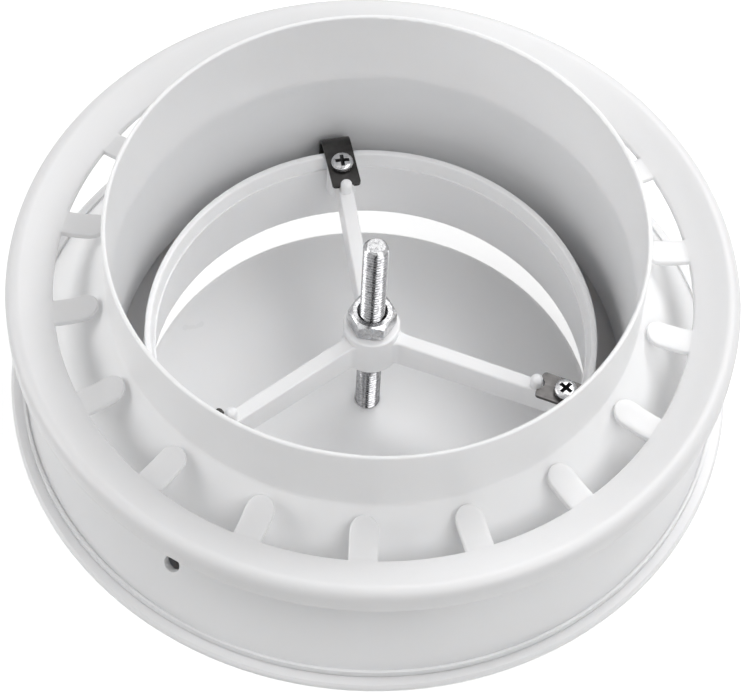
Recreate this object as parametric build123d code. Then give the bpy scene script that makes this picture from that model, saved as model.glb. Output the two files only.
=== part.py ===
from build123d import *
from math import atan, degrees, hypot, sqrt
import os

# Ventilation disc valve, duct side up, standing on the front of its disc.
# Millimetres, +Z towards the duct, origin on the axis at the level of the disc's rim.

# Mounting collar
tube_bore_radius = 60.0
tube_wall = 1.1
tube_rim_round = 0.7
tube_foot_step = 0.3            # tube inside the skirt is thinner than the spigot
tube_foot_lift = 0.8            # foot of the tube above the underside of the lip
spigot_length = 18.9            # straight tube above the skirt
skirt_flare = 20.2              # foot of the skirt outside the tube
skirt_height = 36.5
skirt_wall = 1.9
skirt_fillet = 1.8
lip_width = 1.3
lip_thickness = 1.8
lip_groove_width = 0.65         # shadow groove between the lip and the skirt's foot
lip_groove_depth = 0.7
fixing_hole_radius = 2.0
fixing_hole_height = 10.0       # centre of the hole above the top of the lip
fixing_hole_count = 3
fixing_hole_azimuth = 237.2

# Clamp ring
finger_count = 18
finger_azimuth = 11.0
finger_width = 6.4
finger_length = 10.2            # finger tips to the outer edge of the windows
finger_tip_reach = 1.7          # finger tips outside the tube's wall
finger_tip_clearance = 0.35     # finger tips to the skirt they rest on
ring_thickness = 1.5
ring_dip = 2.0                  # finger tips above the flange's lowest line
flange_width = 10.7             # windows to the ring's outer rim
flange_rise = 3.95              # height that the flange's slope gains out to the rim
rim_wall = 1.6
rim_height = 7.05               # foot of the rim below the top of that slope
rim_bend = 2.5                  # outer radius of the bend from flange to rim

# Valve body
bezel_overhang = 2.6            # bezel outside the collar's lip
bezel_wall = 2.2
bezel_seat_gap = 0.3            # lip of the collar to the seat of the bezel
bezel_seat_width = 5.7
bezel_seat_depth = 2.5          # seat above the bezel's back beside it
bezel_edge_height = 2.3
bezel_edge_round = 0.6
nose_round = 2.5
nose_reach = 2.0                # nose outside the throat's rim
nose_depth = 9.4                # lowest line of the nose below the bezel's seat
throat_gap = 7.0                # throat's rim to the collar's bore
throat_rim_height = 16.6        # throat's top above the bezel's seat
throat_rim_wall = 2.5
throat_rim_land = 1.5
throat_rim_round = 0.45
throat_step_width = 0.4         # small step inside the rim
throat_step_depth = 3.9         # step below the rim's top
arm_count = 3
arm_azimuth = 101.5
arm_width = 3.6
arm_drop = 0.2                  # top of the arms below the throat's rim
arm_depth_hub = 8.2
arm_depth_ring = 6.8
arm_root = 0.6                  # arms into the throat's rim
arm_edge_round = 0.45
hub_root = 2.0                  # rounding between the arms and the hub, seen from above
hub_radius = 6.7
hub_rise = 2.0                  # hub's top above the throat's rim
hub_length = 11.0
hub_round = 0.5
boss_radius = 3.6
boss_depth = 8.5
boss_round = 0.4
boss_inset = 5.0                # clip screws inside the throat's rim
lug_radius = 1.4
lug_height = 3.2
lug_round = 1.0
lug_spacing = 7.05              # lug to the clip screw

# Spring clips and their screws
clip_width = 7.0
clip_thickness = 0.8
clip_wall_gap = 0.45            # clip to the collar's bore
clip_bend_gap = 1.6             # outer corner of the bend to the collar's bore
clip_bend_round = 4.5
clip_heel_round = 1.3
clip_leg_length = 12.0
clip_tail_length = 3.0
clip_tail_set = 1.8
clip_end_gap = 0.5              # notch of the clip round the lug
clip_end_reach = 0.7            # clip's end past the middle of the lug
clip_corner_round = 0.9
clip_twist = [3.0, 0.0, 0.0]    # each clip's turn about its own screw
screw_radius = 1.25
screw_length = 7.0
screw_hole_gap = 0.25
screw_head_radius = 2.7
screw_head_height = 1.9
screw_head_round = 1.1
recess_length = 3.4
recess_width = 0.9
recess_depth = 1.1

# Spindle, lock nut and threaded inserts
spindle_radius = 2.95
thread_clearance = 0.05
spindle_above_nut = 25.5
spindle_chamfer = 0.9
nut_flats = 10.0
nut_height = 5.0
nut_chamfer = 0.55
insert_radius = 4.2
insert_length = 8.0
insert_cover = 1.2              # plastic above the insert

# Valve disc
disc_opening = 13.0             # nose's lowest line above the disc's widest line
disc_overlap = 0.9              # disc outside the nose
disc_edge_height = 3.1          # widest line of the disc above the origin
disc_edge_round = 2.3
disc_wall = 2.4
disc_rise = 8.8                 # middle of the disc above its widest line
disc_bulge = 1.1
disc_foot_inset = 1.7
disc_foot_width = 1.4
disc_foot_taper = 0.9
disc_boss_radius = 8.6
disc_boss_floor = 2.4           # front of the boss above the origin
disc_boss_round = 1.2
disc_nut_height = 5.0
disc_nut_floor = 2.0            # plastic in front of the nut

# Cuts run past the faces they cut
overrun = 1.0

# Heights that follow
nose_height = disc_edge_height + disc_opening
seat_height = nose_height + nose_depth
lip_bottom = seat_height + bezel_seat_gap
lip_top = lip_bottom + lip_thickness
skirt_top = lip_top + skirt_height
collar_top = skirt_top + spigot_length
throat_top = seat_height + throat_rim_height
arm_top = throat_top - arm_drop
clip_top = throat_top + clip_thickness
screw_foot = clip_top - screw_length
hub_top = throat_top + hub_rise
hub_bottom = hub_top - hub_length
insert_bottom = hub_top - insert_cover - insert_length
spindle_top = hub_top + nut_height + spindle_above_nut
disc_crown = disc_edge_height + disc_rise
disc_nut_base = disc_boss_floor + disc_nut_floor

# Radii and angles that follow
tube_radius = tube_bore_radius + tube_wall
skirt_foot_radius = tube_radius + skirt_flare
skirt_slope = skirt_flare / skirt_height
skirt_run = skirt_wall * sqrt(1 + skirt_slope ** 2)
lip_radius = skirt_foot_radius + lip_width
tip_radius = tube_radius + finger_tip_reach
window_radius = tip_radius + finger_length
ring_radius = window_radius + flange_width
bezel_radius = lip_radius + bezel_overhang
throat_radius = tube_bore_radius - throat_gap
nose_radius = throat_radius + nose_reach
boss_axis_radius = throat_radius - boss_inset
lug_axis_radius = boss_axis_radius - lug_spacing
thread_bore = spindle_radius + thread_clearance
disc_radius = nose_radius + disc_overlap
arm_angles = [arm_azimuth + 360 / arm_count * i for i in range(arm_count)]


def at_height(z):
    return Plane.XY.offset(z)


def revolved(lines):
    """Turns a closed outline, drawn in radius and height, about the axis."""
    return revolve(Plane.XZ * make_face(lines), Axis.Z)


def disc_shape(radius, z0, z1):
    return extrude(at_height(z0) * Circle(radius), z1 - z0)


def hexagon(flats, z0, height):
    return extrude(at_height(z0) * RegularPolygon(flats / 2, 6, major_radius=False), height)


def turned(shape, angle):
    return Rot(0, 0, angle) * shape


def skirt_radius_at(z):
    """Radius of the skirt's outer face at a height."""
    return tube_radius + skirt_slope * (skirt_top - z)


def skirt_height_at(radius):
    """Height at which the skirt's outer face has a radius."""
    return skirt_top - (radius - tube_radius) / skirt_slope


def mounting_collar():
    """Tube with a flared skirt round it, which ends in a narrow lip."""
    tube_foot = lip_bottom + tube_foot_lift
    foot_radius = tube_radius - tube_foot_step
    outline = Polyline(
        (tube_bore_radius, tube_foot),
        (foot_radius, tube_foot),
        (foot_radius, skirt_height_at(foot_radius + skirt_run)),
        (skirt_radius_at(lip_bottom) - skirt_run, lip_bottom),
        (lip_radius, lip_bottom),
        (lip_radius, lip_top),
        (skirt_foot_radius + lip_groove_width, lip_top),
        (skirt_foot_radius + lip_groove_width, lip_top - lip_groove_depth),
        (skirt_radius_at(lip_top - lip_groove_depth), lip_top - lip_groove_depth),
        (tube_radius, skirt_top),
        (tube_radius, collar_top),
        (tube_bore_radius, collar_top), close=True)
    collar = revolved(outline)
    collar = fillet(collar.edges().group_by(Axis.Z)[-1], min(tube_rim_round, 0.45 * tube_wall))
    corner = [e for e in collar.edges().filter_by(GeomType.CIRCLE)
              if abs(e.radius - tube_radius) < 0.01 and abs(e.center().Z - skirt_top) < 0.01]
    return fillet(corner, skirt_fillet) - fixing_holes()


def fixing_holes():
    """Screw holes, square to the wall of the skirt."""
    tilt = degrees(atan(skirt_slope))
    z = lip_top + fixing_hole_height
    drill = Cylinder(fixing_hole_radius, 2 * (skirt_wall + overrun))
    holes = Part()
    for i in range(fixing_hole_count):
        place = Rot(0, 0, fixing_hole_azimuth + 360 / fixing_hole_count * i)
        holes += place * Pos(skirt_radius_at(z), 0, z) * Rot(0, 90 - tilt, 0) * drill
    return holes


def clamp_ring():
    """Dished flange with a turned-down rim, and fingers that rest on the skirt."""
    tip_foot = skirt_height_at(tip_radius - finger_tip_clearance)
    flange_low = tip_foot - ring_dip
    flange_face = flange_low + ring_thickness
    rim_top = flange_face + flange_rise
    rim_foot = rim_top - rim_height
    rim_inside = ring_radius - rim_wall
    inside_top = flange_low + flange_rise * (rim_inside - window_radius) / flange_width
    top = FilletPolyline(
        (window_radius, flange_face), (ring_radius, rim_top), (ring_radius, rim_foot), radius=rim_bend)
    under = FilletPolyline(
        (rim_inside, rim_foot), (rim_inside, inside_top), (window_radius, flange_low),
        radius=rim_bend - rim_wall)
    ring = revolved([
        top,
        Line((ring_radius, rim_foot), (rim_inside, rim_foot)),
        under,
        TangentArc((window_radius, flange_low), (tip_radius, tip_foot), tangent=(-1, 0)),
        Line((tip_radius, tip_foot), (tip_radius, tip_foot + ring_thickness)),
        TangentArc((window_radius, flange_face), (tip_radius, tip_foot + ring_thickness), tangent=(-1, 0))])
    return ring - windows(flange_low - overrun, tip_foot + ring_thickness + overrun)


def windows(z0, z1):
    """Gaps between the fingers, open to the middle, with a half-round end on each finger."""
    gap = disc_shape(window_radius, z0, z1)
    middle = tip_radius + finger_width / 2
    length = window_radius + overrun - middle
    outline = Pos(middle + length / 2, 0) * Rectangle(length, finger_width)
    outline += Pos(middle, 0) * Circle(finger_width / 2)
    finger = extrude(at_height(z0) * outline, z1 - z0)
    for i in range(finger_count):
        gap -= turned(finger, finger_azimuth + 360 / finger_count * i)
    return gap


def valve_body():
    """One moulding: bezel, throat, three arms and the hub that holds the spindle."""
    body = throat_and_bezel() + hub_and_arms()
    body -= disc_shape(insert_radius, insert_bottom, insert_bottom + insert_length)
    body -= disc_shape(thread_bore, hub_bottom - overrun, hub_top + overrun)
    pilot = Pos(boss_axis_radius, 0, 0) * disc_shape(screw_radius, screw_foot, throat_top + overrun)
    for angle in arm_angles:
        body -= turned(pilot, angle)
    return body


def throat_and_bezel():
    """One section: throat wall up from the nose, bezel out to its edge."""
    edge_foot = seat_height - bezel_edge_height
    edge_in = bezel_radius - bezel_edge_round
    seat_in = bezel_radius - bezel_seat_width
    wall_foot = (nose_radius - nose_round, nose_height + nose_round)
    nose_tip = (nose_radius, nose_height)
    nose_back = (nose_radius, nose_height + bezel_wall)
    seat_foot = (seat_in, seat_height - bezel_seat_depth)
    rim_inside = throat_radius - throat_rim_land
    step_height = throat_top - throat_step_depth
    rim = [
        (wall_foot[0], wall_foot[1]),
        (throat_radius - throat_rim_wall, step_height),
        (throat_radius - throat_rim_wall + throat_step_width, step_height),
        (rim_inside, throat_top),
        (throat_radius, throat_top),
        (wall_foot[0] + bezel_wall, wall_foot[1]),
        nose_back]
    edge = [
        seat_foot,
        (seat_in, seat_height),
        (edge_in, seat_height),
        (bezel_radius, seat_height - bezel_edge_round),
        (bezel_radius, edge_foot + bezel_edge_round),
        (edge_in, edge_foot)]
    throat = revolved([
        Polyline(rim),
        TangentArc(nose_back, seat_foot, tangent=(1, 0)),
        Polyline(edge),
        TangentArc(nose_tip, (edge_in, edge_foot), tangent=(1, 0)),
        TangentArc(nose_tip, wall_foot, tangent=(-1, 0))])
    return fillet(throat.edges().group_by(Axis.Z)[-1], throat_rim_round)


def hub_and_arms():
    hub = disc_shape(hub_radius, hub_bottom, hub_top)
    shape = fillet(hub.edges().group_by(Axis.Z)[-1], hub_round) + arms()
    boss = Pos(boss_axis_radius, 0, 0) * disc_shape(boss_radius, throat_top - boss_depth, throat_top)
    boss = fillet(boss.edges().group_by(Axis.Z)[-1], boss_round)
    lug = Pos(lug_axis_radius, 0, 0) * disc_shape(lug_radius, arm_top - overrun, arm_top + lug_height)
    lug = fillet(lug.edges().group_by(Axis.Z)[-1], lug_round)
    for angle in arm_angles:
        shape += turned(boss + lug, angle)
    return shape


def arms():
    """Star of three arms with rounded roots, shallower towards the throat's rim."""
    reach = throat_radius - throat_rim_land + arm_root
    depth = revolved(Polyline(
        (0, arm_top), (reach, arm_top), (reach, arm_top - arm_depth_ring),
        (0, arm_top - arm_depth_hub), close=True))
    plan = Sketch() + Circle(hub_radius)
    for angle in arm_angles:
        plan += turned(Pos((reach + overrun) / 2, 0) * Rectangle(reach + overrun, arm_width), angle)
    corners = [v for v in plan.vertices() if abs(hypot(v.X, v.Y) - hub_radius) < 0.01]
    plan = fillet(corners, hub_root)
    star = extrude(at_height(arm_top - arm_depth_hub) * plan, arm_depth_hub) & depth
    return fillet(star.edges().group_by(Axis.Z)[-1], arm_edge_round)


def spring_clip(angle, twist):
    """Bent strip: flat leg on the arm, leg down to the collar's wall, tail turned in."""
    contact = tube_bore_radius - clip_wall_gap
    heel = clip_top - clip_leg_length
    bend = (tube_bore_radius - clip_bend_gap, clip_top)
    middle = ((bend[0] + contact) / 2, (clip_top + heel) / 2)
    path = Plane.XZ * (
        FilletPolyline((lug_axis_radius + clip_end_reach, clip_top), bend, middle, radius=clip_bend_round)
        + FilletPolyline(
            middle, (contact, heel), (contact - clip_tail_set, heel - clip_tail_length),
            radius=clip_heel_round))
    across = Plane(origin=path @ 0, z_dir=path % 0, x_dir=(0, 1, 0))
    section = across * Pos(0, -clip_thickness / 2) * Rectangle(clip_width, clip_thickness)
    strip = sweep(section, path=path)
    strip = fillet(strip.edges().filter_by(Axis.Z).group_by(Axis.X)[0], clip_corner_round)
    low, high = throat_top - overrun, clip_top + overrun
    notch = Pos(lug_axis_radius, 0, 0) * disc_shape(lug_radius + clip_end_gap, low, high)
    hole = Pos(boss_axis_radius, 0, 0) * disc_shape(screw_radius + screw_hole_gap, low, high)
    clip = Pos(-boss_axis_radius, 0, 0) * (strip - notch - hole)
    return turned(Pos(boss_axis_radius, 0, 0) * turned(clip, twist), angle)


def clip_screw(angle):
    head_top = clip_top + screw_head_height
    head = disc_shape(screw_head_radius, clip_top, head_top)
    head = fillet(head.edges().group_by(Axis.Z)[-1], screw_head_round)
    shank = disc_shape(screw_radius, screw_foot, clip_top)
    blade = extrude(at_height(head_top - recess_depth) * Rectangle(recess_length, recess_width), recess_depth)
    cross = blade + turned(blade, 90)
    return turned(Pos(boss_axis_radius, 0, 0) * (head + shank - cross), angle)


def lock_nut():
    cone = disc_shape(nut_flats / sqrt(3), hub_top, hub_top + nut_height)
    cone = chamfer(cone.edges(), nut_chamfer)
    bore = disc_shape(thread_bore, hub_top, hub_top + nut_height)
    return (hexagon(nut_flats, hub_top, nut_height) & cone) - bore


def hub_insert():
    top = insert_bottom + insert_length
    return disc_shape(insert_radius, insert_bottom, top) - disc_shape(thread_bore, insert_bottom, top)


def spindle_rod():
    rod = disc_shape(spindle_radius, disc_nut_base, spindle_top)
    return chamfer(rod.edges().group_by(Axis.Z)[-1], spindle_chamfer)


def valve_disc():
    """Shallow dome with a rolled edge, and a boss round the moulded-in nut."""
    edge_mid = disc_radius - disc_edge_round
    edge_top = (edge_mid, disc_edge_height + disc_edge_round)
    back_mid = (edge_mid / 2, (disc_crown + edge_top[1]) / 2 + disc_bulge)
    foot_outer = disc_radius - disc_foot_inset
    foot_inner = foot_outer - disc_foot_width
    front_edge = (foot_inner - disc_foot_taper, disc_edge_height)
    front_crown = (disc_boss_radius, disc_crown - disc_wall)
    front_mid = ((front_edge[0] + front_crown[0]) / 2, (front_crown[1] + front_edge[1]) / 2 + disc_bulge)
    disc = revolved([
        Line((0, disc_boss_floor), (0, disc_crown)),
        ThreePointArc((0, disc_crown), back_mid, edge_top),
        TangentArc(edge_top, (disc_radius, disc_edge_height), tangent=(1, 0)),
        Polyline((disc_radius, disc_edge_height), (foot_outer, 0), (foot_inner, 0), front_edge),
        ThreePointArc(front_edge, front_mid, front_crown),
        Polyline(front_crown,
                 (disc_boss_radius, disc_boss_floor + disc_boss_round),
                 (disc_boss_radius - disc_boss_round, disc_boss_floor),
                 (0, disc_boss_floor))])
    disc -= hexagon(nut_flats, disc_nut_base, disc_nut_height)
    return disc - disc_shape(thread_bore, disc_nut_base, disc_crown + overrun)


def disc_nut():
    top = disc_nut_base + disc_nut_height
    return hexagon(nut_flats, disc_nut_base, disc_nut_height) - disc_shape(thread_bore, disc_nut_base, top)


def write(name, shape):
    solids = shape.solids()
    result = solids[0] if len(solids) == 1 else Compound(solids)
    result.label = name
    export_step(result, f"parts/{name}.step")
    print(name, len(solids), round(result.volume, 1), result.bounding_box())


os.makedirs("parts", exist_ok=True)
write("mounting_collar", mounting_collar())
write("clamp_ring", clamp_ring())
write("valve_body", valve_body())
write("hub_insert", hub_insert())
for side, angle, twist in zip(("back", "left", "right"), arm_angles, clip_twist):
    write(f"spring_clip_{side}", spring_clip(angle, twist))
    write(f"clip_screw_{side}", clip_screw(angle))
write("lock_nut", lock_nut())
write("spindle_rod", spindle_rod())
write("valve_disc", valve_disc())
write("disc_nut", disc_nut())
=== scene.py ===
"""Looks of the ventilation disc valve: mouldings, clamp ring, thread, screws, clips and the stage."""

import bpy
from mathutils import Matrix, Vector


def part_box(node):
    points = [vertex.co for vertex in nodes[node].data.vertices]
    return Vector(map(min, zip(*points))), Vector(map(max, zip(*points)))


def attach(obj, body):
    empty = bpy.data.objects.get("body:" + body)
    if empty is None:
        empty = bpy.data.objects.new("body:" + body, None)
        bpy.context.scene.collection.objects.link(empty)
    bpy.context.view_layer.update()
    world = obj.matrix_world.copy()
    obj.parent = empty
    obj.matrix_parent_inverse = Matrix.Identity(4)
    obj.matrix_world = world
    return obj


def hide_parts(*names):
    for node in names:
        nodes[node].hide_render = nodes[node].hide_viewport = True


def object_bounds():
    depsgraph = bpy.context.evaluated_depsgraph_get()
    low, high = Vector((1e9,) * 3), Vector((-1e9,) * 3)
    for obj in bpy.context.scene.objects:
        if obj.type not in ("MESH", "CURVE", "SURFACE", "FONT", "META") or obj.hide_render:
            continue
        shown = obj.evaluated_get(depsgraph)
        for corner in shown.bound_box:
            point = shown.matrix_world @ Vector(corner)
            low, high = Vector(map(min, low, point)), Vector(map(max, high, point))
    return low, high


bl_info = {
    "name": "Ventilation disc valve",
    "version": (1, 0, 0),
    "blender": (4, 5, 0),
    "location": "3D View > Sidebar > Disc valve",
    "description": "Finishes a disc valve's mouldings and steel pieces, and sets up its stage",
    "category": "Object",
}

from math import asin, atan, cos, pi, radians, sin, sqrt

import bmesh
import bpy
from bpy.props import FloatProperty, FloatVectorProperty, IntProperty, PointerProperty
from mathutils import Matrix, Vector

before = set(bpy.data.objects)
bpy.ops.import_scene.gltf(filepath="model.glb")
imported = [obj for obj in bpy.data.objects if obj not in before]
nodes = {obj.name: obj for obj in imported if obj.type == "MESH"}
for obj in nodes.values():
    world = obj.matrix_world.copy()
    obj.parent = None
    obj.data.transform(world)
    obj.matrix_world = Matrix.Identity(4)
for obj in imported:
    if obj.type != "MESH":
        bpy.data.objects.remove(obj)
cad_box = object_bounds()

MM = 0.001
SIDES = ("back", "left", "right")
CLIP_SHEEN_TONES = (1.0, 1.0, 1.5)  # the right clip is painted paler, a painted sheen standing in for the lamp's reflection on it
SCREW_TURN = radians(34)  # how much further round its own axis each next screw is driven
ROUNDING_STEPS = (0.0, 0.15, 0.45, 1.0)  # depths of the rows of points that round an edge, in radii
FINGER_STEPS = 6
TIP_STEPS = 12
SCREW_STEPS = 40
THREAD_STEPS = 36
NUT_STEPS = 72
NUT_CONE = 0.62  # fall of the nut's corners for each metre further out than its flat face
WHITE = (1, 1, 1, 1)
RANGE_SOCKETS = ("From Min", "From Max", "To Min", "To Max")

# Camera: what it looks at, its height over the floor, its turn round its line of sight, its lens in mm
CAMERA_TARGET = Vector((0.42 * MM, 0, 33.4 * MM))
CAMERA_HEIGHT = radians(56.04)
CAMERA_ROLL = radians(3.473)
SENSOR_WIDTH = 36.0
FOCAL_LENGTH = 126.2

# Lamps: name, place, width and the setting with the power
LAMPS = (
    ("key_lamp", (0.25, -0.29, 0.50), 0.4, "key"),
    ("rear_lamp", (0.25, 0.29, 0.50), 0.4, "rim"),
    ("fill_lamp", (-1.06, 0.0, 0.60), 0.8, "fill"))
FLOOR_HALF = 4.0
SCREEN_DISTANCE = 0.9
SCREEN_SHIFT = Vector((0.16, 0, 0))


def colour_setting(name, description, default):
    return FloatVectorProperty(
        name=name, description=description, subtype="COLOR", size=3, min=0, max=1, default=default)


def size_setting(name, description, millimetres):
    return FloatProperty(
        name=name, description=description, subtype="DISTANCE", default=millimetres * MM)


def power_setting(name, description, watts):
    return FloatProperty(name=name, description=description, subtype="POWER", default=watts)


class ValvePlastic(bpy.types.PropertyGroup):
    """The white moulded plastic of the collar, ring, body and disc."""
    colour: colour_setting("Colour", "Colour of the moulded plastic", (0.92, 0.92, 0.927))
    shade: colour_setting("Shade", "Colour of its slightly denser patches", (0.912, 0.912, 0.919))
    roughness: FloatProperty(
        name="Roughness", description="Roughness of the satin skin", subtype="FACTOR",
        min=0, max=1, default=0.38)
    grain: size_setting("Grain", "Width of the fine grain left by the mould", 0.45)
    depth: size_setting("Light depth", "How far light goes into the plastic", 2.0)


class ValveSteel(bpy.types.PropertyGroup):
    """Zinc plated spindle, nut and screws, and the blackened spring clips."""
    zinc: colour_setting("Zinc", "Colour of the zinc plating", (0.62, 0.62, 0.63))
    zinc_dull: colour_setting("Dull zinc", "Colour of its duller patches", (0.36, 0.36, 0.37))
    # Painted shade: the thread's darker metal stands in for the shade in its grooves and the dark that
    # it reflects
    thread: colour_setting("Thread", "Colour of the darker metal of the threads", (0.40, 0.40, 0.41))
    # Painted shade: the recesses' near black stands in for the shade inside them
    recess: colour_setting("Recess", "Colour inside the screws' recesses", (0.025, 0.025, 0.027))
    spring: colour_setting("Spring steel", "Colour of the blackened clips", (0.075, 0.072, 0.071))
    brass: colour_setting("Brass", "Colour of the threaded insert", (0.72, 0.53, 0.24))


class ValveRing(bpy.types.PropertyGroup):
    """Sizes of the clamp ring and its fingers."""
    fingers: IntProperty(name="Fingers", description="Number of fingers", min=3, default=18)
    first: FloatProperty(name="First finger", description="Turn of the first finger", subtype="ANGLE",
                         default=radians(11.0))
    finger_width: size_setting("Finger width", "Width of a finger", 6.4)
    tip_radius: size_setting("Tip radius", "Axis to the finger tips", 62.8)
    window_radius: size_setting("Window radius", "Axis to the outer edge of the windows", 73.0)
    radius: size_setting("Radius", "Outer radius of the ring", 83.7)
    thickness: size_setting("Thickness", "Thickness of the flange and the fingers", 1.5)
    tip_rise: size_setting("Tip rise", "Finger tips above the flange's lowest line", 2.0)
    climb: size_setting("Climb", "Height that the flange's slope gains out to the rim", 3.95)
    rim_height: size_setting("Rim height", "Foot of the rim below the top of that slope", 7.05)
    rim_wall: size_setting("Rim wall", "Thickness of the rim", 1.6)
    bend: size_setting("Bend", "Outer radius of the bend from flange to rim", 2.5)
    edge: size_setting("Edge", "Rounding of the edges round the windows", 0.5)


class ValveFasteners(bpy.types.PropertyGroup):
    """Sizes of the thread, the lock nut and the clip screws."""
    pitch: size_setting("Pitch", "Rise of the thread in one turn", 1.0)
    thread_depth: size_setting("Thread depth", "Depth of the thread", 0.55)
    chamfer: size_setting("Chamfer", "Bevel at the ends of the spindle", 0.9)
    nut_bore: size_setting("Nut bore", "Radius of the nut's bore at its crests", 3.1)
    nut_sink: size_setting("Nut sink", "Width of the countersink at the nut's bore", 0.5)
    nut_face: size_setting("Nut face", "Radius of the flat ring on the nut", 4.6)
    recess_reach: size_setting("Recess reach", "Middle of a screw to the end of its recess", 1.75)
    recess_width: size_setting("Recess width", "Width of the recess's slots", 0.95)
    recess_depth: size_setting("Recess depth", "Depth of the recess", 1.4)


class ValveStage(bpy.types.PropertyGroup):
    """Floor, lamps and camera."""
    floor: colour_setting("Floor", "Colour of the floor", (0.80, 0.80, 0.80))
    floor_glow: FloatProperty(
        name="Floor glow", description="Share of the floor's white that its own glow gives to the eye",
        subtype="FACTOR", min=0, max=1, default=0.62)
    key: power_setting("Key lamp", "Power of the near lamp at the front right", 1.6)
    fill: power_setting("Fill lamp", "Power of the large lamp at the left", 6.7)
    rim: power_setting("Rear lamp", "Power of the near lamp at the rear right", 2.06)
    sky: FloatProperty(
        name="Sky", description="Strength of the even light from all sides", default=0.13)
    screen: FloatProperty(
        name="Screen", description="Radius of the dark screen behind the lens", subtype="DISTANCE",
        default=0.42)
    distance: FloatProperty(
        name="Distance", description="Camera to the point that it looks at", subtype="DISTANCE",
        default=0.618)


def settings(name):
    return getattr(bpy.context.scene, f"valve_{name}")


class Nodes:
    """A node tree, with short calls for what its users share."""

    def __init__(self, tree):
        self.tree = tree
        self.tree.nodes.clear()

    def add(self, kind, **values):
        node = self.tree.nodes.new(kind)
        for key, value in values.items():
            setattr(node, key, value)
        return node

    def join(self, source, target):
        self.tree.links.new(source, target)

    def feed(self, socket, value):
        if isinstance(value, bpy.types.NodeSocket):
            self.join(value, socket)
        else:
            socket.default_value = value

    def math(self, operation, a, b=0.0):
        node = self.add("ShaderNodeMath", operation=operation)
        self.feed(node.inputs[0], a)
        self.feed(node.inputs[1], b)
        return node.outputs["Value"]

    def point(self, x, y, z):
        node = self.add("ShaderNodeCombineXYZ")
        for socket, value in zip(node.inputs, (x, y, z)):
            self.feed(socket, value)
        return node.outputs["Vector"]


class Shader(Nodes):
    """A material's nodes, with the textures that the finishes share."""

    def __init__(self, name):
        self.material = bpy.data.materials.new(name)
        self.material.use_nodes = True
        super().__init__(self.material.node_tree)
        self.surface = self.add("ShaderNodeBsdfPrincipled")
        out = self.add("ShaderNodeOutputMaterial")
        self.join(self.surface.outputs["BSDF"], out.inputs["Surface"])
        self.place = self.add("ShaderNodeTexCoord").outputs["Object"]

    def noise(self, width, detail=2.0, roughness=0.5, stretch=(1, 1, 1), turn=0.0):
        """Noise with features of this width, stretched along the piece if asked."""
        place = self.place
        if stretch != (1, 1, 1) or turn:
            mapping = self.add("ShaderNodeMapping")
            mapping.inputs["Rotation"].default_value = (0, 0, -turn)
            self.join(place, mapping.inputs["Vector"])
            scale = self.add("ShaderNodeMapping")
            scale.inputs["Scale"].default_value = tuple(1 / s for s in stretch)
            self.join(mapping.outputs["Vector"], scale.inputs["Vector"])
            place = scale.outputs["Vector"]
        node = self.add("ShaderNodeTexNoise")
        node.inputs["Scale"].default_value = 1 / width
        node.inputs["Detail"].default_value = detail
        node.inputs["Roughness"].default_value = roughness
        self.join(place, node.inputs["Vector"])
        return node.outputs["Fac"]

    def remap(self, value, low, high, to_low=0.0, to_high=1.0):
        node = self.add("ShaderNodeMapRange")
        for name, number in zip(RANGE_SOCKETS, (low, high, to_low, to_high)):
            node.inputs[name].default_value = number
        self.join(value, node.inputs["Value"])
        return node.outputs["Result"]

    def mix(self, factor, a, b):
        node = self.add("ShaderNodeMix", data_type="RGBA")
        self.feed(node.inputs["Factor"], factor)
        self.feed(node.inputs["A"], a)
        self.feed(node.inputs["B"], b)
        return node.outputs["Result"]

    def bump(self, height, distance, strength=1.0, under=None):
        node = self.add("ShaderNodeBump")
        node.inputs["Strength"].default_value = strength
        node.inputs["Distance"].default_value = distance
        self.join(height, node.inputs["Height"])
        if under is not None:
            self.join(under, node.inputs["Normal"])
        return node.outputs["Normal"]

    def rounded(self, radius):
        """Normals as if the edges were rounded by this radius."""
        node = self.add("ShaderNodeBevel", samples=4)
        node.inputs["Radius"].default_value = radius
        return node.outputs["Normal"]

    def set(self, **values):
        names = {
            "colour": "Base Color", "roughness": "Roughness", "metallic": "Metallic",
            "normal": "Normal", "ior": "IOR", "light_depth": "Subsurface Scale",
            "light_share": "Subsurface Weight", "light_spread": "Subsurface Radius"}
        for key, value in values.items():
            self.feed(self.surface.inputs[names[key]], value)
        return self.material


def rgba(colour):
    return (*colour, 1.0)


def white_plastic(name, tone=1.0, edge=0.25 * MM, polish=0.0):
    """Satin white plastic: faint cloudy patches, fine mould grain and a little light inside."""
    plastic = settings("plastic")
    s = Shader(name)
    clouds = s.remap(s.noise(22 * MM, detail=3.0), 0.35, 0.65)
    specks = s.remap(s.noise(1.6 * MM, detail=1.0), 0.62, 0.80, 0.0, 0.25)
    light = [c * tone for c in plastic.colour]
    dense = [c * tone for c in plastic.shade]
    colour = s.mix(clouds, rgba(light), rgba(dense))
    colour = s.mix(specks, colour, rgba(dense))
    skin = plastic.roughness - polish
    rough = s.remap(s.noise(9 * MM, detail=4.0), 0.2, 0.8, skin - 0.04, skin + 0.05)
    normal = s.rounded(edge)
    normal = s.bump(s.noise(16 * MM, detail=0.0), 0.08 * MM, 0.4, under=normal)
    normal = s.bump(s.noise(plastic.grain, detail=2.0), 0.012 * MM, 0.5, under=normal)
    return s.set(
        colour=colour, roughness=rough, ior=1.49, light_share=0.5, light_depth=plastic.depth,
        light_spread=(1.0, 0.95, 0.90), normal=normal)


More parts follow.
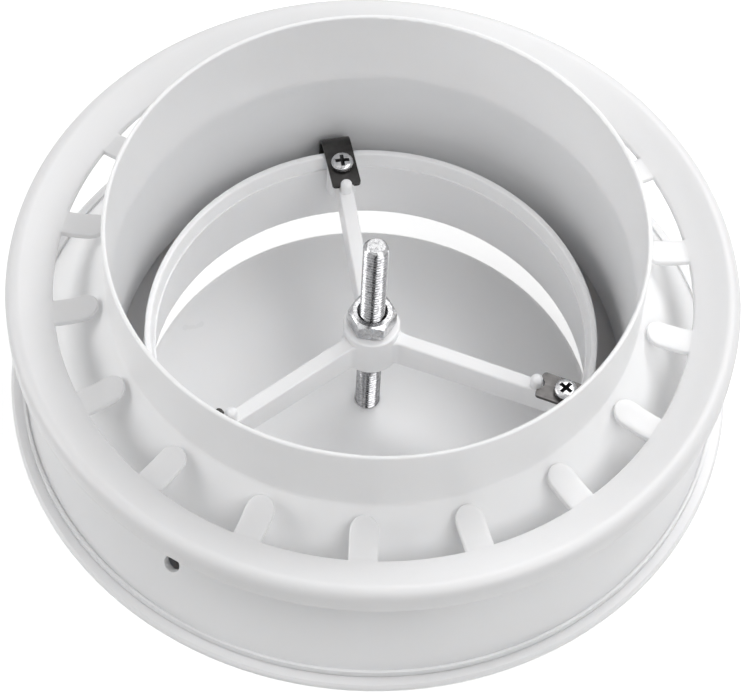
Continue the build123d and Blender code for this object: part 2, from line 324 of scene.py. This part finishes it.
def zinc_steel(name, edge=0.12 * MM, tone=1.0):
    """Zinc plating: bright, with duller crystals and a fine grain."""
    steel = settings("steel")
    s = Shader(name)
    crystals = s.remap(s.noise(1.1 * MM, detail=4.0, roughness=0.65), 0.45, 0.70)
    bright, dull = ([c * tone for c in colour] for colour in (steel.zinc, steel.zinc_dull))
    colour = s.mix(crystals, rgba(bright), rgba(dull))
    rough = s.remap(s.noise(0.7 * MM, detail=3.0), 0.3, 0.7, 0.16, 0.32)
    normal = s.bump(s.noise(0.25 * MM, detail=2.0), 0.008 * MM, 0.6, under=s.rounded(edge))
    return s.set(colour=colour, metallic=1.0, roughness=rough, normal=normal)


def thread_steel_painted_shade(name):
    """Rolled thread: metal painted darker than the zinc, as painted shade of its grooves and a painted
    dark reflection, with oily patches.
    """
    steel = settings("steel")
    s = Shader(name)
    worn = s.remap(s.noise(0.9 * MM, detail=4.0, roughness=0.6), 0.40, 0.72)
    colour = s.mix(worn, rgba(steel.thread), rgba([c * 0.55 for c in steel.thread]))
    rough = s.remap(s.noise(0.5 * MM, detail=3.0, stretch=(1, 1, 0.3)), 0.3, 0.7, 0.12, 0.24)
    normal = s.bump(s.noise(0.2 * MM, detail=2.0), 0.006 * MM, 0.5)
    return s.set(colour=colour, metallic=1.0, roughness=rough, normal=normal)


def recess_steel(name):
    """Inside of a driven recess: painted nearly black as painted shade, with dull crumbs of plating."""
    steel = settings("steel")
    s = Shader(name)
    crumbs = s.remap(s.noise(0.35 * MM, detail=3.0), 0.55, 0.75)
    colour = s.mix(crumbs, rgba(steel.recess), rgba([c * 3 for c in steel.recess]))
    return s.set(colour=colour, metallic=0.6, roughness=s.remap(crumbs, 0.0, 1.0, 0.55, 0.4),
                 normal=s.bump(crumbs, 0.02 * MM, 0.4))


def spring_steel(name, turn, tone=1.0):
    """Blackened strip: fine rolling lines along it and a worn tint."""
    steel = settings("steel")
    s = Shader(name)
    rolled = s.noise(0.35 * MM, detail=4.0, stretch=(14, 1, 1), turn=turn)
    tint = s.remap(s.noise(4 * MM, detail=3.0), 0.38, 0.66)
    # A tone above 1 paints a sheen: the paler right clip stands in for the lamp's reflection on it
    sheen_painted_colour = [c * tone for c in steel.spring]
    dark = [c * 0.6 for c in sheen_painted_colour]
    colour = s.mix(tint, rgba(sheen_painted_colour), rgba(dark))
    rough = s.remap(rolled, 0.3, 0.7, 0.28, 0.44)
    normal = s.bump(rolled, 0.012 * MM, 0.7, under=s.rounded(0.15 * MM))
    return s.set(colour=colour, metallic=1.0, roughness=rough, normal=normal)


def turned_brass(name):
    steel = settings("steel")
    s = Shader(name)
    lines = s.noise(0.2 * MM, detail=3.0, stretch=(8, 8, 1))
    colour = s.mix(s.remap(lines, 0.35, 0.65), rgba(steel.brass), rgba([c * 0.7 for c in steel.brass]))
    return s.set(colour=colour, metallic=1.0, roughness=s.remap(lines, 0.3, 0.7, 0.25, 0.4),
                 normal=s.bump(lines, 0.01 * MM, 0.6))


def dress(name, material):
    """Gives a frame node its finish."""
    mesh = nodes[name].data
    mesh.materials.clear()
    mesh.materials.append(material)


def sheet(bm, rows):
    """Faces between neighbouring rows of points."""
    grid = [[bm.verts.new(point) for point in row] for row in rows]
    for one, two in zip(grid, grid[1:]):
        for i in range(len(one) - 1):
            bm.faces.new((one[i], one[i + 1], two[i + 1], two[i]))


def turned(bm, outline, steps):
    """Turns an outline of radius and height round the axis."""
    rows = []
    for i in range(steps + 1):
        angle = 2 * pi * i / steps
        rows.append([(r * cos(angle), r * sin(angle), z) for r, z in outline])
    sheet(bm, rows)


def tidy(mesh, bm=None, merge=1e-6, sharp=None):
    """Merges doubles, points the faces outwards and shades the mesh smooth up to an angle."""
    if bm is None:
        bm = bmesh.new()
        bm.from_mesh(mesh)
    bmesh.ops.remove_doubles(bm, verts=bm.verts, dist=merge)
    bmesh.ops.dissolve_degenerate(bm, dist=merge, edges=bm.edges)
    bmesh.ops.recalc_face_normals(bm, faces=bm.faces)
    for face in bm.faces:
        face.smooth = True
    bm.to_mesh(mesh)
    bm.free()
    if sharp is not None:
        mesh.set_sharp_from_angle(angle=sharp)
    return mesh


def piece(name, mesh, body, slot, *stands_for):
    """Puts a finished mesh in the scene in place of frame nodes."""
    thing = bpy.data.objects.new(name, mesh)
    bpy.context.scene.collection.objects.link(thing)
    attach(thing, body)
    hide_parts(*stands_for)
    return thing


def settled(thing):
    """The plain mesh of an object with its modifiers."""
    graph = bpy.context.evaluated_depsgraph_get()
    return bpy.data.meshes.new_from_object(
        thing.evaluated_get(graph), preserve_all_data_layers=True, depsgraph=graph)


def round_pattern():
    """Node tree that sets copies of a piece round the axis."""
    tree = bpy.data.node_groups.new("round_pattern", "GeometryNodeTree")
    tree.is_modifier = True
    tree.interface.new_socket("Geometry", in_out="INPUT", socket_type="NodeSocketGeometry")
    for name, kind in (
            ("Count", "Int"), ("Radius", "Float"), ("First angle", "Float"), ("Own turn", "Float"),
            ("Finish", "Material"), ("Recess finish", "Material")):
        tree.interface.new_socket(name, in_out="INPUT", socket_type=f"NodeSocket{kind}")
    tree.interface.new_socket("Geometry", in_out="OUTPUT", socket_type="NodeSocketGeometry")
    n = Nodes(tree)
    given = n.add("NodeGroupInput").outputs
    index = n.add("GeometryNodeInputIndex").outputs["Index"]
    step = n.math("DIVIDE", 2 * pi, given["Count"])
    angle = n.math("ADD", n.math("MULTIPLY", index, step), given["First angle"])
    turn = n.math("ADD", angle, n.math("MULTIPLY", index, given["Own turn"]))
    x = n.math("MULTIPLY", n.math("COSINE", angle), given["Radius"])
    y = n.math("MULTIPLY", n.math("SINE", angle), given["Radius"])
    points = n.add("GeometryNodePoints")
    n.join(given["Count"], points.inputs["Count"])
    n.join(n.point(x, y, 0.0), points.inputs["Position"])
    rotation = n.add("FunctionNodeEulerToRotation")
    n.join(n.point(0.0, 0.0, turn), rotation.inputs["Euler"])
    copies = n.add("GeometryNodeInstanceOnPoints")
    n.join(points.outputs[0], copies.inputs["Points"])
    n.join(given["Geometry"], copies.inputs["Instance"])
    n.join(rotation.outputs["Rotation"], copies.inputs["Rotation"])
    real = n.add("GeometryNodeRealizeInstances")
    n.join(copies.outputs["Instances"], real.inputs["Geometry"])
    finish = n.add("GeometryNodeSetMaterial")
    n.join(real.outputs["Geometry"], finish.inputs["Geometry"])
    n.join(given["Finish"], finish.inputs["Material"])
    # Faces marked recess get the second finish; the screws use it for their painted recess shade
    marked = n.add("GeometryNodeInputNamedAttribute", data_type="BOOLEAN")
    marked.inputs["Name"].default_value = "recess"
    recess = n.add("GeometryNodeSetMaterial")
    n.join(finish.outputs["Geometry"], recess.inputs["Geometry"])
    n.join(marked.outputs["Attribute"], recess.inputs["Selection"])
    n.join(given["Recess finish"], recess.inputs["Material"])
    n.join(recess.outputs["Geometry"], n.add("NodeGroupOutput").inputs["Geometry"])
    return tree


def repeated(mesh, **values):
    """A mesh repeated round the axis by the node tree, as a plain mesh."""
    thing = bpy.data.objects.new("pattern", mesh)
    bpy.context.scene.collection.objects.link(thing)
    modifier = thing.modifiers.new("round_pattern", "NODES")
    modifier.node_group = bpy.data.node_groups.get("round_pattern") or round_pattern()
    for socket in modifier.node_group.interface.items_tree:
        key = socket.name.lower().replace(" ", "_")
        if key in values:
            modifier[socket.identifier] = values[key]
    result = settled(thing)
    bpy.data.objects.remove(thing)
    return result


def rounding(depth, radius):
    """How far a rounded edge falls away this deep inside its outline."""
    if depth >= radius:
        return 0.0
    return radius - sqrt(radius ** 2 - (radius - depth) ** 2)


def arc(middle_r, middle_z, radius, start, end, steps):
    angles = [start + (end - start) * i / steps for i in range(steps + 1)]
    return [(middle_r + radius * cos(a), middle_z + radius * sin(a), 0) for a in angles]


def ring_section(ring, foot):
    """Radius, height and side of the points along flange and rim, from the windows out and back.

    The side is 1 on top, -1 underneath and 0 on the rim.
    """
    slope = ring.climb / (ring.radius - ring.window_radius)
    lean = atan(slope)
    face = foot + ring.rim_height - ring.climb
    middle = ring.radius - ring.bend
    rise = (middle - ring.window_radius) * slope
    inner = ring.bend - ring.rim_wall
    steps = [ring.edge * s for s in ROUNDING_STEPS] + [1.8 * MM, 3.6 * MM, 5.4 * MM]
    top = [(ring.window_radius + d, face + d * slope, 1) for d in steps]
    bend = arc(middle, face + rise - ring.bend / cos(lean), ring.bend, pi / 2 + lean, 0, 9)
    corner = 0.35 * MM
    edge = arc(ring.radius - corner, foot + corner, corner, 0, -pi / 2, 3)
    inside = ring.radius - ring.rim_wall
    back = arc(inside + corner, foot + corner, corner, -pi / 2, -pi, 3)
    under = face - ring.thickness
    inner_bend = arc(middle, under + rise - inner / cos(lean), inner, 0, pi / 2 + lean, 5)
    bottom = [(ring.window_radius + d, under + d * slope, -1) for d in reversed(steps)]
    return top + bend + edge + back + inner_bend + bottom


def ring_sector(ring, foot):
    """One finger with its share of the flange and rim, between the middles of two windows."""
    bm = bmesh.new()
    half = ring.finger_width / 2
    window = ring.window_radius
    face = foot + ring.rim_height - ring.climb
    insets = [ring.edge * s for s in ROUNDING_STEPS] + [half / 2, half]
    end, side = pi / ring.fingers, asin(half / window)
    gap = [end + (side - end) * i / FINGER_STEPS for i in range(FINGER_STEPS + 1)]
    finger = [asin((half - d) / window) for d in insets]
    columns = gap[:-1] + finger + [-a for a in reversed(finger[:-1])] + [-a for a in reversed(gap[:-1])]
    section = ring_section(ring, foot)

    def height(z, side_of, depth):
        return z - side_of * rounding(depth, ring.edge if side_of > 0 else 0.6 * ring.edge)

    def flange_row(angle):
        row = []
        for r, z, side_of in section:
            depth = max(r - window, half - abs(r * sin(angle)))
            row.append((r * cos(angle), r * sin(angle), height(z, side_of, depth) if side_of else z))
        return row

    rows = [flange_row(angle) for angle in columns]
    sheet(bm, rows)
    for part in (rows[:len(gap)], rows[-len(gap):]):
        sheet(bm, [(row[0], row[-1]) for row in part])

    length = window - ring.tip_radius
    bow = (length ** 2 + ring.tip_rise ** 2) / (2 * ring.tip_rise)
    middle = ring.tip_radius + half

    def finger_row(spots):
        top, bottom = [], []
        for depth, (x, y) in zip(insets, spots):
            arch = face + bow - sqrt(bow ** 2 - max(0.0, window - sqrt(x ** 2 + y ** 2)) ** 2)
            top.append((x, y, height(arch, 1, depth)))
            bottom.append((x, y, height(arch - ring.thickness, -1, depth)))
        return list(reversed(top)) + bottom

    def along_side(sign):
        spots = [[(sqrt(window ** 2 - (half - d) ** 2), sign * (half - d)) for d in insets]]
        for i in range(1, FINGER_STEPS + 1):
            x = window + (middle - window) * i / FINGER_STEPS
            spots.append([(x, sign * (half - d)) for d in insets])
        return spots

    tip = []
    for i in range(1, TIP_STEPS):
        turn = pi / 2 - pi * i / TIP_STEPS
        tip.append([(middle - (half - d) * cos(turn), (half - d) * sin(turn)) for d in insets])
    stations = along_side(1) + tip + list(reversed(along_side(-1)))
    sheet(bm, [finger_row(spots) for spots in stations])
    return tidy(bpy.data.meshes.new("ring_sector"), bm)


class VALVE_OT_mouldings(bpy.types.Operator):
    """Finish the collar, the valve body and the disc"""
    bl_idname = "valve.mouldings"
    bl_label = "Mouldings"

    def execute(self, context):
        dress("mounting_collar", white_plastic("collar_plastic"))
        dress("valve_body", white_plastic("body_plastic", tone=0.965, polish=0.04))
        dress("valve_disc", white_plastic("disc_plastic", polish=0.08))
        return {"FINISHED"}


class VALVE_OT_clamp_ring(bpy.types.Operator):
    """Make the clamp ring with its arched fingers"""
    bl_idname = "valve.clamp_ring"
    bl_label = "Clamp ring"

    def execute(self, context):
        ring = settings("ring")
        low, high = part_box("clamp_ring")
        # The ring's plastic is toned darker than the collar's, a painted shade standing in for the
        # shade on its flange and fingers
        mesh = repeated(
            ring_sector(ring, low.z), count=ring.fingers, radius=0.0, first_angle=ring.first,
            own_turn=0.0, finish=white_plastic("ring_plastic", tone=0.87, edge=0.1 * MM))
        piece("clamp_ring_finished", tidy(mesh, merge=1e-5), "ring", "ring_plastic", "clamp_ring")
        return {"FINISHED"}


class VALVE_OT_spring_clips(bpy.types.Operator):
    """Finish the spring clips"""
    bl_idname = "valve.spring_clips"
    bl_label = "Spring clips"

    def execute(self, context):
        # Each clip's tone; the right clip's higher tone is a painted sheen
        for side, tone in zip(SIDES, CLIP_SHEEN_TONES):
            low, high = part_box(f"clip_screw_{side}")
            middle = (low + high) / 2
            turn = Vector((1, 0)).angle_signed(Vector((middle.x, middle.y)))
            dress(f"spring_clip_{side}", spring_steel(f"spring_steel_{side}", -turn, tone))
        return {"FINISHED"}


class VALVE_OT_clip_screws(bpy.types.Operator):
    """Make the pan-head screws that hold the clips"""
    bl_idname = "valve.clip_screws"
    bl_label = "Clip screws"

    def execute(self, context):
        low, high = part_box("clip_screw_back")
        middle = (low + high) / 2
        first = Vector((1, 0)).angle_signed(Vector((middle.x, middle.y)))
        zinc, dark = zinc_steel("screw_zinc"), recess_steel("recess_steel")
        screw = screw_mesh(low.z, high.z, (high.x - low.x) / 2, zinc, dark)
        mesh = repeated(
            screw, count=len(SIDES), radius=Vector((middle.x, middle.y)).length, first_angle=-first,
            own_turn=SCREW_TURN, finish=zinc, recess_finish=dark)
        mesh = tidy(mesh, merge=1e-7, sharp=radians(32))
        piece("clip_screws", mesh, "valve", "screw_steel", *[f"clip_screw_{side}" for side in SIDES])
        return {"FINISHED"}


def screw_mesh(low, high, radius, zinc, dark):
    """Pan-head screw on the axis, with a tapered cross recess cut into its head."""
    foot = high - 1.9 * MM
    shank = 1.25 * MM
    crown = [
        (0.0, 0.0), (0.45, 0.005), (0.75, 0.04), (0.90, 0.11), (0.97, 0.22), (1.0, 0.40), (1.0, 0.66),
        (0.97, 0.82), (0.90, 0.92), (0.78, 0.97)]
    outline = [(radius * r, high - (high - foot) * z) for r, z in crown]
    outline += [(shank, foot + 0.02 * MM), (shank, low + 0.8 * MM), (0.0, low)]
    bm = bmesh.new()
    turned(bm, outline, SCREW_STEPS)
    head = bpy.data.objects.new("screw", tidy(bpy.data.meshes.new("screw"), bm))
    head.data.materials.append(zinc)
    bpy.context.scene.collection.objects.link(head)
    cutters = [recess_cutter(high, turn, dark) for turn in (0.0, pi / 2)]
    for cutter in cutters:
        cut = head.modifiers.new("recess", "BOOLEAN")
        cut.operation = "DIFFERENCE"
        cut.solver = "EXACT"
        cut.material_mode = "TRANSFER"
        cut.object = cutter
    mesh = settled(head)
    # Faces cut by the recess carry the near black of the painted recess shade
    inside = mesh.attributes.new("recess", "BOOLEAN", "FACE")
    for face in mesh.polygons:
        inside.data[face.index].value = mesh.materials[face.material_index] == dark
    for thing in (head, *cutters):
        bpy.data.objects.remove(thing)
    return mesh


def recess_cutter(top, turn, dark):
    """Wedge that cuts two opposite wings of the recess."""
    sizes = settings("fasteners")
    bm = bmesh.new()
    # Height, and the reach and width there as shares of those at the head's top
    levels = ((top + 0.3 * MM, 1.12, 1.08), (top - sizes.recess_depth, 0.36, 0.62))
    for z, reach, width in levels:
        for x in (-1, 1):
            for y in (-1, 1):
                spot = Vector((x * reach * sizes.recess_reach, y * width * sizes.recess_width / 2, z))
                bm.verts.new(Matrix.Rotation(turn, 3, "Z") @ spot)
    bmesh.ops.convex_hull(bm, input=bm.verts)
    mesh = tidy(bpy.data.meshes.new("cutter"), bm)
    mesh.materials.append(dark)
    cutter = bpy.data.objects.new("cutter", mesh)
    bpy.context.scene.collection.objects.link(cutter)
    return cutter


def thread_mesh(low, high, radius):
    """Rod with a right-hand thread, bevelled at both ends."""
    sizes = settings("fasteners")
    steps = THREAD_STEPS
    # Share of a turn, and 1 at the root or 0 at the crest
    profile = ((0.0, 1), (0.22, 1), (0.56, 0), (0.68, 0))
    turns = int((high - low) / sizes.pitch) + 3
    rows = []
    for turn in range(turns):
        for share, deep in profile:
            row = []
            for i in range(steps):
                z = low + (turn - 1 + share + i / steps) * sizes.pitch
                z = min(max(z, low), high)
                bevel = min(z - low, high - z, sizes.chamfer)
                r = min(radius - deep * sizes.thread_depth, radius - sizes.chamfer + bevel)
                angle = 2 * pi * i / steps
                row.append((r * cos(angle), r * sin(angle), z))
            rows.append(row)
    bm = bmesh.new()
    grid = [[bm.verts.new(point) for point in row] for row in rows]
    for k in range(len(grid) - 1):
        for i in range(steps - 1):
            bm.faces.new((grid[k][i], grid[k][i + 1], grid[k + 1][i + 1], grid[k + 1][i]))
        if k + 1 + len(profile) < len(grid):
            one, two = grid[k + len(profile)][0], grid[k + 1 + len(profile)][0]
            bm.faces.new((grid[k][-1], one, two, grid[k + 1][-1]))
    bmesh.ops.remove_doubles(bm, verts=bm.verts, dist=1e-6)
    bmesh.ops.dissolve_degenerate(bm, dist=1e-6, edges=bm.edges)
    bmesh.ops.holes_fill(bm, edges=[e for e in bm.edges if e.is_boundary], sides=0)
    mesh = tidy(bpy.data.meshes.new("thread"), bm, sharp=radians(24))
    # The thread takes the metal painted darker as painted shade and reflection; the bevelled end keeps
    # the brighter zinc
    for face in mesh.polygons:
        face.material_index = 1 if face.center.z > high - 0.6 * sizes.chamfer else 0
    return mesh


def nut_mesh(low, high, flats):
    """Hexagon nut, turned to a cone at its corners and sunk round its bore."""
    sizes = settings("fasteners")
    bore, sink, face = sizes.nut_bore, sizes.nut_sink, sizes.nut_face
    mouth = bore + sink
    bm = bmesh.new()
    rows = []
    for i in range(NUT_STEPS + 1):
        angle = 2 * pi * i / NUT_STEPS
        side = flats / 2 / cos(angle % (pi / 3) - pi / 6)
        fall = max(0.0, side - face) * NUT_CONE
        outline = (
            (bore, low + sink), (mouth, low), (face, low), (side, low + fall), (side, high - fall),
            (face, high), (mouth, high), (bore, high - sink), (bore, low + sink))
        rows.append([(r * cos(angle), r * sin(angle), z) for r, z in outline])
    sheet(bm, rows)
    mesh = tidy(bpy.data.meshes.new("nut"), bm, sharp=radians(20))
    # The bore and its countersink take the metal painted darker, a painted shade round the rod
    for part in mesh.polygons:
        part.material_index = 1 if Vector(part.center[:2]).length < bore + 0.6 * sink else 0
    return mesh


class VALVE_OT_spindle(bpy.types.Operator):
    """Make the threaded spindle"""
    bl_idname = "valve.spindle"
    bl_label = "Spindle"

    def execute(self, context):
        low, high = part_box("spindle_rod")
        mesh = thread_mesh(low.z, high.z, (high.y - low.y) / 2)
        mesh.materials.append(thread_steel_painted_shade("spindle_thread"))
        mesh.materials.append(zinc_steel("spindle_end", tone=0.85))
        piece("threaded_spindle", mesh, "spindle", "spindle_steel", "spindle_rod")
        return {"FINISHED"}


class VALVE_OT_nuts(bpy.types.Operator):
    """Make the lock nut, and finish the nut in the disc and the insert in the hub"""
    bl_idname = "valve.nuts"
    bl_label = "Nuts and insert"

    def execute(self, context):
        low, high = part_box("lock_nut")
        mesh = nut_mesh(low.z, high.z, high.y - low.y)
        mesh.materials.append(zinc_steel("nut_zinc"))
        mesh.materials.append(thread_steel_painted_shade("nut_thread"))
        piece("lock_nut_finished", mesh, "nut", "nut_steel", "lock_nut")
        dress("disc_nut", zinc_steel("disc_nut_zinc"))
        dress("hub_insert", turned_brass("insert_brass"))
        return {"FINISHED"}


class VALVE_OT_stage(bpy.types.Operator):
    """Set up the floor, the lamps and the camera"""
    bl_idname = "valve.stage"
    bl_label = "Stage"

    def execute(self, context):
        make_floor()
        make_sky()
        make_lamps()
        make_screen()
        make_camera()
        return {"FINISHED"}


def camera_rays(tree):
    """1 where the eye, a reflection or a look through glass sees the surface."""
    path = tree.nodes.new("ShaderNodeLightPath")
    total = None
    for name in ("Is Camera Ray", "Is Glossy Ray", "Is Transmission Ray"):
        if total is None:
            total = path.outputs[name]
            continue
        node = tree.nodes.new("ShaderNodeMath")
        node.operation = "MAXIMUM"
        tree.links.new(total, node.inputs[0])
        tree.links.new(path.outputs[name], node.inputs[1])
        total = node.outputs["Value"]
    return total


def make_floor():
    """Large pale floor that the eye sees as white, apart from the object's shadow."""
    stage = settings("stage")
    mesh = bpy.data.meshes.new("floor")
    corners = [(x * FLOOR_HALF, y * FLOOR_HALF, 0) for x, y in ((-1, -1), (1, -1), (1, 1), (-1, 1))]
    mesh.from_pydata(corners, [], [(0, 1, 2, 3)])
    floor = bpy.data.objects.new("floor", mesh)
    bpy.context.scene.collection.objects.link(floor)
    material = bpy.data.materials.new("floor_paper")
    material.use_nodes = True
    tree = material.node_tree
    tree.nodes.clear()
    diffuse = tree.nodes.new("ShaderNodeBsdfDiffuse")
    diffuse.inputs["Color"].default_value = rgba(stage.floor)
    glow = tree.nodes.new("ShaderNodeEmission")
    glow.inputs["Color"].default_value = WHITE
    gain = tree.nodes.new("ShaderNodeMath")
    gain.operation = "MULTIPLY"
    gain.inputs[1].default_value = stage.floor_glow
    tree.links.new(camera_rays(tree), gain.inputs[0])
    tree.links.new(gain.outputs["Value"], glow.inputs["Strength"])
    both = tree.nodes.new("ShaderNodeAddShader")
    out = tree.nodes.new("ShaderNodeOutputMaterial")
    tree.links.new(diffuse.outputs["BSDF"], both.inputs[0])
    tree.links.new(glow.outputs["Emission"], both.inputs[1])
    tree.links.new(both.outputs["Shader"], out.inputs["Surface"])
    mesh.materials.append(material)


def make_sky():
    """Even pale light from all sides, seen as white by the eye."""
    stage = settings("stage")
    world = bpy.data.worlds.new("studio")
    bpy.context.scene.world = world
    world.use_nodes = True
    tree = world.node_tree
    tree.nodes.clear()
    light = tree.nodes.new("ShaderNodeBackground")
    light.inputs["Color"].default_value = WHITE
    strength = tree.nodes.new("ShaderNodeMix")
    strength.data_type = "FLOAT"
    strength.inputs["A"].default_value = stage.sky
    strength.inputs["B"].default_value = 1.0
    tree.links.new(camera_rays(tree), strength.inputs["Factor"])
    tree.links.new(strength.outputs["Result"], light.inputs["Strength"])
    out = tree.nodes.new("ShaderNodeOutputWorld")
    tree.links.new(light.outputs["Background"], out.inputs["Surface"])


def area_lamp(name, place, target, size, power):
    lamp = bpy.data.lights.new(name, "AREA")
    lamp.shape = "SQUARE"
    lamp.size = size
    lamp.energy = power
    light = bpy.data.objects.new(name, lamp)
    light.location = place
    light.rotation_euler = (Vector(target) - Vector(place)).to_track_quat("-Z", "Y").to_euler()
    bpy.context.scene.collection.objects.link(light)


def make_lamps():
    stage = settings("stage")
    low, high = cad_box
    middle = (low + high) / 2
    for name, place, size, power in LAMPS:
        area_lamp(name, place, middle, size, getattr(stage, power))


def make_screen():
    """Dark screen behind the lens, seen only in what shines."""
    stage = settings("stage")
    bm = bmesh.new()
    bmesh.ops.create_circle(bm, cap_ends=True, radius=stage.screen, segments=48)
    screen = bpy.data.objects.new("dark_screen", tidy(bpy.data.meshes.new("dark_screen"), bm))
    bpy.context.scene.collection.objects.link(screen)
    back = camera_back()
    place = Matrix.Translation(CAMERA_TARGET + back * SCREEN_DISTANCE + SCREEN_SHIFT)
    screen.matrix_world = place @ back.to_track_quat("Z", "Y").to_matrix().to_4x4()
    cloth = Shader("screen_cloth")
    screen.data.materials.append(cloth.set(colour=(0.02, 0.02, 0.02, 1), roughness=0.9))
    screen.visible_camera = False
    screen.visible_diffuse = False
    screen.visible_shadow = False


def camera_back():
    """The direction from the camera's target back to the camera."""
    return Vector((0, -cos(CAMERA_HEIGHT), sin(CAMERA_HEIGHT)))


def make_camera():
    """High over the near side, turned a little round its line of sight."""
    stage = settings("stage")
    back = camera_back()
    right = Vector((1, 0, 0))
    up = back.cross(right)
    x = right * cos(CAMERA_ROLL) + up * sin(CAMERA_ROLL)
    y = up * cos(CAMERA_ROLL) - right * sin(CAMERA_ROLL)
    camera = bpy.data.cameras.new("camera")
    camera.sensor_width = SENSOR_WIDTH
    camera.lens = FOCAL_LENGTH
    camera.clip_start = 0.05
    camera.clip_end = 20.0
    eye = bpy.data.objects.new("camera", camera)
    turn = Matrix((x, y, back)).transposed().to_4x4()
    eye.matrix_world = Matrix.Translation(CAMERA_TARGET + back * stage.distance) @ turn
    bpy.context.scene.collection.objects.link(eye)
    bpy.context.scene.camera = eye
    bpy.context.scene.view_settings.view_transform = "Standard"


class VALVE_PT_sidebar(bpy.types.Panel):
    """Lists the pieces of the valve and their settings"""
    bl_idname = "VALVE_PT_sidebar"
    bl_label = "Disc valve"
    bl_space_type = "VIEW_3D"
    bl_region_type = "UI"
    bl_category = "Disc valve"

    def draw(self, context):
        for name in GROUPS:
            group = settings(name)
            column = self.layout.column(align=True)
            for key in group.bl_rna.properties.keys():
                if key not in {"rna_type", "name"}:
                    column.prop(group, key)
        for operator in OPERATORS:
            self.layout.operator(operator.bl_idname)


GROUPS = {
    "plastic": ValvePlastic, "steel": ValveSteel, "ring": ValveRing, "fasteners": ValveFasteners,
    "stage": ValveStage}
OPERATORS = (
    VALVE_OT_mouldings, VALVE_OT_clamp_ring, VALVE_OT_spring_clips, VALVE_OT_clip_screws,
    VALVE_OT_spindle, VALVE_OT_nuts, VALVE_OT_stage)


def register():
    for item in (*GROUPS.values(), *OPERATORS, VALVE_PT_sidebar):
        bpy.utils.register_class(item)
    for name, group in GROUPS.items():
        setattr(bpy.types.Scene, f"valve_{name}", PointerProperty(type=group))


def unregister():
    for name in GROUPS:
        delattr(bpy.types.Scene, f"valve_{name}")
    for item in reversed((*GROUPS.values(), *OPERATORS, VALVE_PT_sidebar)):
        bpy.utils.unregister_class(item)


def main():
    register()
    bpy.ops.valve.mouldings()
    bpy.ops.valve.clamp_ring()
    bpy.ops.valve.spring_clips()
    bpy.ops.valve.clip_screws()
    bpy.ops.valve.spindle()
    bpy.ops.valve.nuts()
    bpy.ops.valve.stage()


if __name__ == "__main__":
    main()
